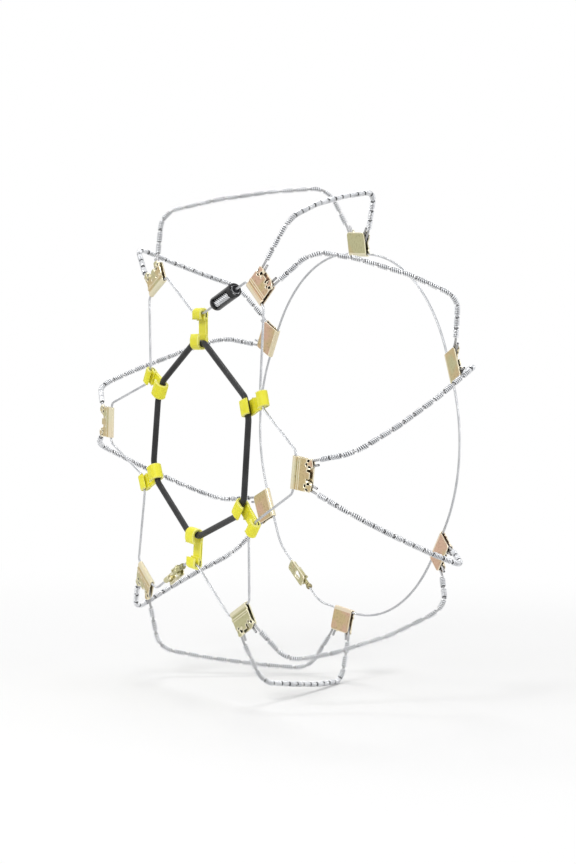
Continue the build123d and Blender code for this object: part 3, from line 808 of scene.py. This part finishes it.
def shrunk(outline, amount):                    # an outline moved inwards by an amount
    points = np.array(outline)
    ahead = np.roll(points, -1, 0) - points
    ahead /= np.linalg.norm(ahead, axis=1)[:, None]
    before = np.roll(ahead, 1, 0)
    area = np.sum(points[:, 0] * np.roll(points[:, 1], -1) - points[:, 1] * np.roll(points[:, 0], -1))
    sign = 1 if area > 0 else -1
    normal = np.stack([-(ahead + before)[:, 1], (ahead + before)[:, 0]], 1) * sign
    normal /= np.maximum(np.sum((ahead + before) ** 2, 1), 0.6)[:, None] / 2
    return points + normal * amount


slabStep, slabBand = 1.5 * mm, 0.9 * mm         # along the outline, and beside a rounded edge


def slab(form, seat, outline, half, edge, rim=0.0, sink=0.0):   # edges rounded, faces sunk
    outline = divided([Vector(p) for p in outline], slabStep)
    steps = [(max(0.0, half - edge - slabBand), 0.0)]
    steps += [(half - edge * (1 - sin(a)), edge * (1 - cos(a)))
              for a in np.linspace(0, pi / 2, 6)]
    if rim:
        steps += [(half, rim), (half - sink, rim + sink * 0.5)]
    rings = [(-y, inset) for y, inset in steps[::-1]] + steps
    form.loft(seat.lay([[(x, y, z) for x, z in shrunk(outline, inset)] for y, inset in rings]))


def turned(form, seat, profile, mark=0.0):      # profile: places along X, and radii
    turn = np.linspace(0, 2 * pi, roundColumns, endpoint=False)
    form.loft(seat.lay([[(x, r * cos(a), r * sin(a)) for a in turn] for x, r in profile]), mark)


def rounded(x, way, radius, cuts):              # a turned part's end, from (inwards, drop) in mm
    return [(x + way * inwards * mm, radius - drop * mm) for inwards, drop in cuts]


# Locks: a keyed plate crimped to one end of a cable, and a ball stud on the other

lockLook = {
    "corner": 3.2 * mm, "edge": 0.35 * mm, "step": 1.1 * mm, "tone": 0.15,
    "rib": 0.7 * mm, "ribY": 4.4 * mm, "ribWidth": 1.1 * mm, "ribFrom": 1 * mm, "ribTo": 14 * mm,
    "ribFade": 2 * mm, "scallop": 0.4 * mm, "scallopPitch": 3.2 * mm, "wallStep": 0.4 * mm,
    "wallRise": 2.5 * mm, "wallSink": 0.2 * mm, "lipDrop": 2 * mm, "lipCorner": 1.5 * mm,
    "crimps": (3.2, 6.0, 8.8), "crimpDip": 0.55 * mm, "crimpWidth": 0.75 * mm,   # places in mm
    "crimpFrom": 1.2 * mm, "crimpStep": 0.35 * mm, "shankFrom": 0.6 * mm, "shankTo": 0.9 * mm,
    "shankStep": 0.4 * mm, "crimpEnd": ((0, 0.8), (0.25, 0.25), (0.8, 0)),
    "studEnd": ((0.25, 0.3), (0, 0.95)), "ballTurn": (0.3, 2.42), "ballStep": 0.16,
    "saddle": 0.6 * mm, "saddleTop": -1 * mm, "saddleSink": 0.3 * mm, "saddleEdge": 0.4 * mm,
    "stop": 4.1 * mm, "stopLength": 6 * mm, "stopX": 49 * mm, "stopCurve": 0.6,
    "stopSink": 0.2 * mm, "stopCuts": 14, "stopDarkening": -0.45,
}


def crimped(radius, start, end, step, dips):    # pinched at each dip
    look = lockLook
    return [(x, radius - look["crimpDip"] * max(np.exp(-((x - dip) / look["crimpWidth"]) ** 2)
                                                for dip in dips)) for x in grid(start, end, step)]


floorZ = -(lock["ball"] + lock["play"])
for side, seat in (("outer", outerLock), ("inner", innerLock)):
    form, look, half, sheet = Form(), lockLook, lock["width"] / 2, lock["sheet"]
    keyX = lock["studX"] - lock["travel"]
    key = 2 * (lock["ball"] + lock["play"])
    keyhole = capsule(keyX, 0, key + hair, key, 0, 12)
    slot = capsule((keyX + lock["lipX"] - 2 * sheet) / 2, 0, lock["lipX"] - 2 * sheet - keyX,
                   2 * (lock["shank"] + lock["play"]), 0, 8)

    def pressed(x, y):
        rise = np.full(len(x), floorZ - sheet / 2)
        for s in (-1, 1):
            rib = bump(y, s * look["ribY"], look["rib"], look["ribWidth"])
            rise = rise + rib * ramp(look["ribTo"] - x, look["ribFade"]) * ramp(
                x - look["ribFrom"], look["ribFade"])
        return rise

    stamping(form, seat, [softened(bounded(0, lock["length"], -half, half), look["corner"])],
             [keyhole, slot], pressed, sheet, look["step"])
    for s in (-1, 1):                           # side walls with a scalloped lip
        start, end = lock["wallStart"], lock["lipX"] + sheet
        along = grid(start, end, look["wallStep"])
        crest = floorZ + lock["wallHeight"] + look["scallop"] * np.sin(
            (along - start) / look["scallopPitch"] * 2 * pi) - look["scallop"]
        crest = floorZ + (crest - floorZ) * ramp(along - start, look["wallRise"]) ** 0.5
        outline = [(start, floorZ - look["wallSink"]), *zip(along, crest),
                   (end, floorZ - look["wallSink"])]
        spot = Seat(seat.at(0, s * (half - sheet / 2)), seat.x, seat.z)
        slab(form, spot, outline[::-1], sheet / 2, look["edge"])
    notch, top = lock["shank"] + lock["play"], lock["shank"]   # the end wall, notched for the shank
    right = [(half, floorZ), (half, top - look["lipDrop"]), (half - look["lipCorner"], top),
             (notch, top)]
    outline = right + arc(0, 0, notch, 0, -pi, 12) + [(-x, z) for x, z in right[::-1]]
    slab(form, Seat(seat.at(lock["lipX"] + sheet / 2, 0), seat.y, seat.z), outline,
         sheet / 2, look["edge"])
    radius, crimp = cable["side"] / 2 + lock["crimpWall"], lock["crimp"]
    profile = rounded(0, 1, radius, look["crimpEnd"])
    profile += crimped(radius, look["crimpFrom"], crimp - look["crimpFrom"], look["crimpStep"],
                       [c * mm for c in look["crimps"]])
    turned(form, seat, profile + rounded(crimp, -1, radius, look["crimpEnd"])[::-1])
    saddle = bounded(look["saddle"], crimp - look["saddle"], floorZ - look["saddleSink"],
                     look["saddleTop"])
    slab(form, seat, saddle, lock["crimpWall"], look["saddleEdge"])
    # the stop is darkened part way to the dark colour of the discs under the holes
    bead = cable["side"] / 2 - look["stopSink"]   # a stop swaged on the cable behind the stud
    turned(form, seat, [(look["stopX"] - look["stopLength"] / 2 * cos(a),
                         bead + (look["stop"] - bead) * sin(a) ** look["stopCurve"])
                        for a in np.linspace(0.01, pi - 0.01, look["stopCuts"])],
           mark=look["stopDarkening"])
    form.piece(f"{side}_lock", "net", goldSteel, [f"{side}_lock_plate"], "gold_steel",
               smooth=38, worn=True, tone=look["tone"])

    form, ball, shank = Form(), lock["ball"], lock["shank"]
    profile = [(lock["studX"] - ball * cos(a), ball * sin(a))
               for a in grid(*look["ballTurn"], look["ballStep"])]
    end = lock["studX"] + lock["shankLength"]
    profile += crimped(shank, profile[-1][0] + look["shankFrom"], end - look["shankTo"],
                       look["shankStep"], [end - c * mm for c in look["crimps"]])
    turned(form, seat, profile + rounded(end, -1, shank, look["studEnd"]))
    form.piece(f"{side}_ball", f"{side}_stud", goldSteel, [f"{side}_lock_stud"], "dark_steel",
               tone=look["tone"])
print("locks")


# Rubber ring and its hooks

ringSize = {"thick": 8 * mm, "reach": 3.8 * mm, "step": 2 * mm, "seam": 0.022, "seamTurn": 0.05}
corners, reaches = [], []
for radius, angle in zip(wheel["hookRadii"], wheel["hookAngles"]):
    for side in (-1, 1):
        corners.append(seatAt(radius * mm - wheel["hookDrop"], angle, -1).at(
            0, side * (halfHook + ringSize["reach"])))
        reaches.append(ringSize["reach"])
route = Route(corners, reaches, closed=True)
spots, ahead, _, _ = route.frames(grid(0, route.length, ringSize["step"])[:-1])
axle = np.array([0, 1, 0.0])
flat = np.cross(ahead, axle)
turn = np.linspace(0, 2 * pi, roundColumns, endpoint=False)
thick = ringSize["thick"] / 2 * (1 - ringSize["seam"] * (np.abs(np.sin(turn)) > ringSize["seamTurn"]))
ring = np.cos(turn)[None, :, None] * flat[:, None] + np.sin(turn)[None, :, None] * axle
form = Form()
form.loft(spots[:, None] + ring * thick[None, :, None], closed=True)
form.piece("rubber_ring", "ring", blackRubber, ["tensioner_ring"], "black_rubber")

slack = wheel["hookDrop"] * (1 - cos(radians(hookSize["swing"])))
cableSlot = cable["side"] / 2 + hookSize["play"]
ringSlot = ringSize["thick"] / 2 + hookSize["play"]
back = -(ringSlot + hookSize["bar"])


def lobe(x, facing, slotX, slot, wall, tip):    # a C whose slot opens towards facing
    radius = slot + wall
    z = back + radius
    upper, lower = pi - asin((slot - z) / radius), pi + asin((slot + z) / radius)
    points = arc(-tip, z, radius, upper, pi / 2)
    points += arc(0, z, radius, pi / 2, -pi / 2, 28)
    points += arc(-tip, z, radius, 3 * pi / 2, lower)
    points += arc(slotX, 0, slot, -pi / 2, pi / 2)
    return [(x - facing * u, z) for u, z in points]


drop = wheel["hookDrop"]
for k, angle in enumerate(wheel["hookAngles"]):
    seat, form = seatAt(wheel["hookRadii"][k] * mm, angle, -1), Form()
    for outline in (lobe(0, -1, 0, cableSlot, hookSize["cableWall"], hookSize["cableTip"]),
                    lobe(-drop, 1, slack, ringSlot, slack + hookSize["ringWall"],
                         hookSize["ringTip"])):
        slab(form, seat, softened(outline, hookSize["corner"]), hookSize["width"] / 2,
             hookSize["round"], hookSize["face"], hookSize["sink"])
    top = back + hookSize["bar"] - hookSize["under"]
    slab(form, seat, bounded(-drop, 0, back, top), hookSize["barWidth"] / 2,
         hookSize["barRound"], hookSize["barFace"])
    form.piece(f"yellow_hook_{k + 1}", f"hook_{k + 1}", yellowPlastic,
               [f"tensioner_hook_{k + 1}"], "yellow_plastic", worn=True)
print("ring and hooks")


# Barrel: a black windowed shell that turns on a bright stranded sleeve

barrel = {"radius": 9.2 * mm, "length": 50 * mm, "window": (-18 * mm, 19 * mm),
          "windowWidth": 13 * mm, "windowTurn": 24, "bore": 6.9 * mm, "fromBend": 54 * mm,
          "groove": 0.7 * mm, "grooveWidth": 1.2 * mm, "grooveSlope": 0.15 * mm,
          "grooveFromEnd": 5 * mm, "end": ((0, 1.0), (0.3, 0.35), (1.0, 0)), "rowStep": 6 * mm,
          "columns": 44, "windowColumns": 7, "sleeve": 6.6 * mm, "lay": 26 * mm,
          "collar": 5.9 * mm, "collarLength": 2 * mm, "play": 0.3 * mm,
          "collarIn": ((0, 0.8), (0.2, 0.25), (0.7, 0)),
          "collarOut": ((0.7, 0), (0.2, 0.25), (0, 0.9), (0.1, 1.3), (1.3, 1.8), (1.3, 3.9)),
          "collarShade": (0.85, 0.85, 0.85, 0.5, 0.7, 0.9, 1, 1, 1)}
start = seatAt(wheel["outerRadii"][1] * mm, wheel["outerAngles"][1], -1).at(
    0, halfFold + cable["sideReach"])
finish = seatAt(wheel["hookRadii"][1] * mm, wheel["hookAngles"][1], -1).at(
    0, -halfHook - cable["hookReach"])
barrelWay = (finish - start).normalized()
barrelSeat = Seat(start + barrelWay * barrel["fromBend"], barrelWay, Vector((0, -1, 0)))

half, outside = barrel["length"] / 2, barrel["radius"]
lowX, highX = barrel["window"]
profile = rounded(-half, 1, outside, barrel["end"])
for side in (-1, 1):
    x, wide = side * (half - barrel["grooveFromEnd"]), barrel["grooveWidth"] / 2
    slope, low = barrel["grooveSlope"], outside - barrel["groove"]
    profile += [(x - wide, outside), (x - wide + slope, low), (x + wide - slope, low),
                (x + wide, outside)]
    if side < 0:
        profile += [(spot, outside) for spot in grid(*barrel["window"], barrel["rowStep"])]
profile += rounded(half, -1, outside, barrel["end"])[::-1]
opening = asin(barrel["windowWidth"] / 2 / outside)
facing = pi / 2 - radians(barrel["windowTurn"])
turns = list(np.linspace(facing + opening, facing + 2 * pi - opening, barrel["columns"]))
turns += list(np.linspace(facing + 2 * pi - opening, facing + 2 * pi + opening,
                          barrel["windowColumns"] + 1)[1:-1])
columns, shift = len(turns), len(profile) * len(turns)
points = [(x, r * cos(a), r * sin(a)) for x, r in profile for a in turns]
points += [(x, barrel["bore"] * cos(a), barrel["bore"] * sin(a)) for x, _ in profile for a in turns]
cells = []
for row, ((x, _), (nextX, _)) in enumerate(zip(profile, profile[1:])):
    beside = x >= lowX - hair and nextX <= highX + hair
    for column in range(barrel["columns"] - 1 if beside else columns):
        a, b = row * columns + column, row * columns + (column + 1) % columns
        cells.append((a, b, b + columns, a + columns))
faces = cells + [tuple(k + shift for k in cell[::-1]) for cell in cells]
faces += [(b, a, a + shift, b + shift) for a, b in border(cells)]   # the window's walls, the ends
form = Form()
form.add(barrelSeat.lay(points), faces)
form.piece("black_barrel", "barrel", blackPlastic, ["barrel_shell"], "black_plastic", worn=True)

form, long = Form(), half + barrel["play"]
rope(form, Route([barrelSeat.at(-long, 0), barrelSeat.at(long, 0)], []), 2 * barrel["sleeve"],
     lay=barrel["lay"])
# the collars get painted shade, lighter at their outer rim
for side in (-1, 1):
    turned(form, barrelSeat, rounded(side * long, side, barrel["collar"], barrel["collarIn"])
           + rounded(side * (long + barrel["collarLength"]), -side, barrel["collar"],
                     barrel["collarOut"]), mark=np.repeat(barrel["collarShade"], roundColumns))
form.piece("bright_sleeve", "barrel_sleeve", brightSteel, ["barrel_ferrule"], "bright_steel")
print("barrel")


# Stage, light and camera

studio = {"backdrop": 1.0, "ambient": 0.62, "floor": (0.90, 0.90, 0.90), "floorSize": 4.0,
          "floorFade": (0.45, 1.5),
          "lamps": {"key": ((0.9, -2.4, 2.2), 1.2, 38), "fill": ((2.6, 0.9, 1.0), 1.6, 16),
                    "rim": ((-1.6, 0.6, 2.4), 1.0, 22)}}   # place, size and power
view = {"azimuth": 58.6, "elevation": 3.24, "roll": 0.91, "distance": 3.6,
        "lens": 2816 / 864 * 36, "shift": (9.8 / 864, 2.9 / 864)}

bpy.context.scene.world = bpy.data.worlds.new("studio")
bpy.context.scene.world.use_nodes = True
sky = Tree(bpy.context.scene.world.node_tree)
light = sky.node("Mix", {}, {0: sky.seen(), 2: studio["ambient"], 3: studio["backdrop"]})
glow = sky.tree.nodes["Background"]
sky.join(light, glow.inputs["Strength"])
glow.inputs["Color"].default_value = (1, 1, 1, 1)

floorMesh, size = bpy.data.meshes.new("floor"), studio["floorSize"]
floorMesh.from_pydata([(*p, cadBox[0][2]) for p in bounded(-size, size, -size, size)], [],
                      [(0, 1, 2, 3)])
floor = bpy.data.objects.new("floor", floorMesh)
bpy.context.scene.collection.objects.link(floor)
paper = Finish("paper", baseColor=studio["floor"], roughness=0.9)
away = paper.clear(paper.node("VectorMath", {"operation": "LENGTH"}, {0: paper.place()}, out=1),
                   *studio["floorFade"])
blend = paper.node("MixShader", {}, {0: away, 1: Wire(paper, paper.shader.outputs[0]),
                                     2: paper.node("Emission", {}, {"Strength": paper.seen()})})
paper.join(blend, paper.tree.nodes["Material Output"].inputs["Surface"])
floorMesh.materials.append(paper.material)

for name, (place, size, power) in studio["lamps"].items():
    light = bpy.data.lights.new(name, "AREA")
    light.shape, light.size, light.energy = "DISK", size, power
    lamp = bpy.data.objects.new(name, light)
    lamp.location = place
    lamp.rotation_euler = (-Vector(place)).to_track_quat("-Z", "Y").to_euler()
    bpy.context.scene.collection.objects.link(lamp)

azimuth, elevation, roll = (radians(view[k]) for k in ("azimuth", "elevation", "roll"))
backward = Vector((sin(azimuth) * cos(elevation), -cos(azimuth) * cos(elevation), sin(elevation)))
right = Vector((cos(azimuth), sin(azimuth), 0))
up = backward.cross(right)
right, up = right * cos(roll) + up * sin(roll), up * cos(roll) - right * sin(roll)
camera = bpy.data.objects.new("camera", bpy.data.cameras.new("camera"))
camera.matrix_world = Matrix.LocRotScale(
    backward * view["distance"], Matrix((right, up, backward)).transposed(), None)
camera.data.lens, camera.data.sensor_width = view["lens"], 36
camera.data.shift_x, camera.data.shift_y = view["shift"]
camera.data.clip_start = 0.01
bpy.context.scene.collection.objects.link(camera)
bpy.context.scene.camera = camera
bpy.context.scene.view_settings.view_transform = "Standard"

print("stage, light and camera")
